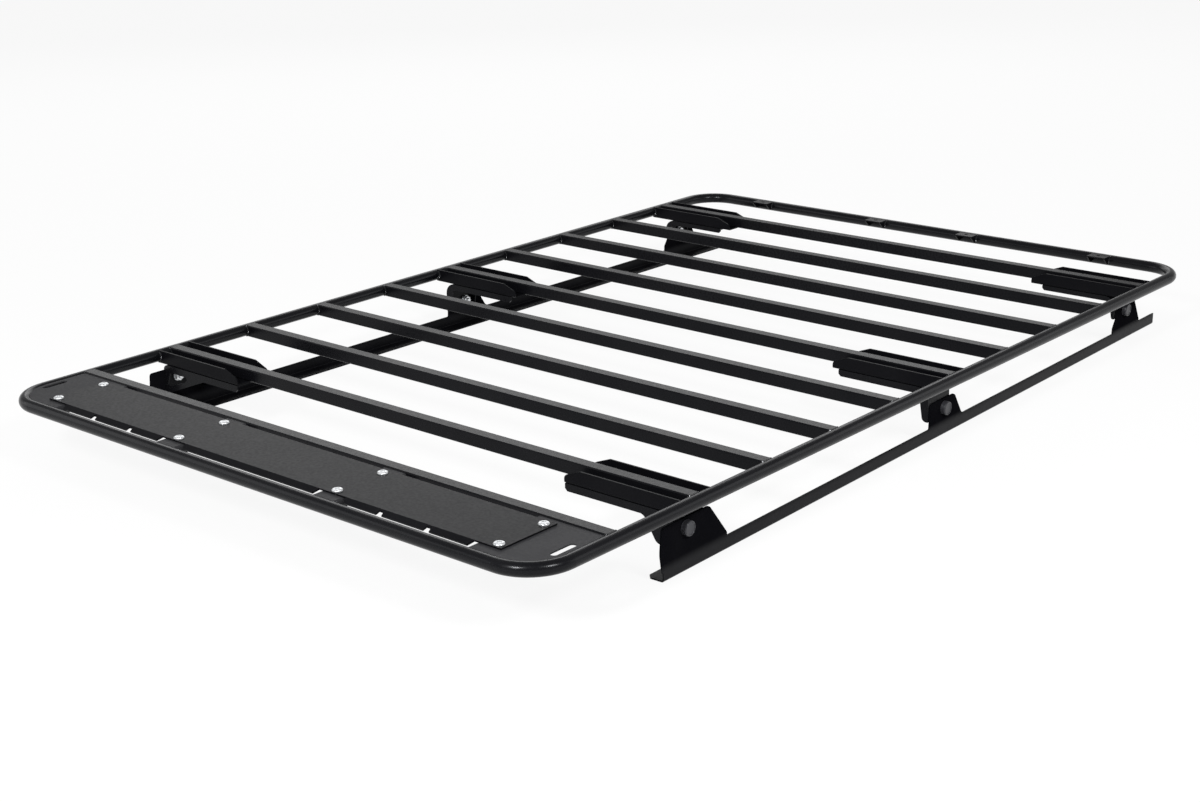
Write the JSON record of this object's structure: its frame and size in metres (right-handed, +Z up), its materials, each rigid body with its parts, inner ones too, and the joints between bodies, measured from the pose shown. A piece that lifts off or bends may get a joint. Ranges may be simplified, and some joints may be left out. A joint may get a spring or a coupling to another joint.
{
  "type": "platform roof rack",
  "caption": "Flat platform roof rack for a vehicle: a bent tube frame with cross bars, a bolted front cover panel, saddle brackets and two mounting rails.",
  "frame": {"origin": "middle of the footprint, on the floor under the two rails", "axes": "+X to the rack's right seen from the panel end, +Y from the panel end to the open end, +Z up"},
  "size_m": [1.4, 2.225, 0.1375],
  "materials": {
    "powder_coat": "satin black powder coat with a fine grain"
  },
  "bodies": {
    "root": {"cover_plate": "powder_coat", "cross_bar_01": "powder_coat", "cross_bar_02": "powder_coat", "cross_bar_03": "powder_coat", "cross_bar_04": "powder_coat", "cross_bar_05": "powder_coat", "cross_bar_06": "powder_coat", "cross_bar_07": "powder_coat", "cross_bar_08": "powder_coat", "cross_bar_09": "powder_coat", "cross_bar_10": "powder_coat", "front_hoop": "powder_coat", "front_left_leg": "powder_coat", "front_left_saddle": "powder_coat", "front_right_leg": "powder_coat", "front_right_saddle": "powder_coat", "left_end_plate": "powder_coat", "left_panel_rib": "powder_coat", "left_rail": "powder_coat", "left_rear_lug_inner": "powder_coat", "left_rear_lug_outer": "powder_coat", "left_side_tube": "powder_coat", "middle_left_leg": "powder_coat", "middle_left_saddle": "powder_coat", "middle_right_leg": "powder_coat", "middle_right_saddle": "powder_coat", "rear_hoop": "powder_coat", "rear_left_leg": "powder_coat", "rear_left_saddle": "powder_coat", "rear_right_leg": "powder_coat", "rear_right_saddle": "powder_coat", "right_end_plate": "powder_coat", "right_panel_rib": "powder_coat", "right_rail": "powder_coat", "right_rear_lug_inner": "powder_coat", "right_rear_lug_outer": "powder_coat", "right_side_tube": "powder_coat"}
  },
  "joints": []
}
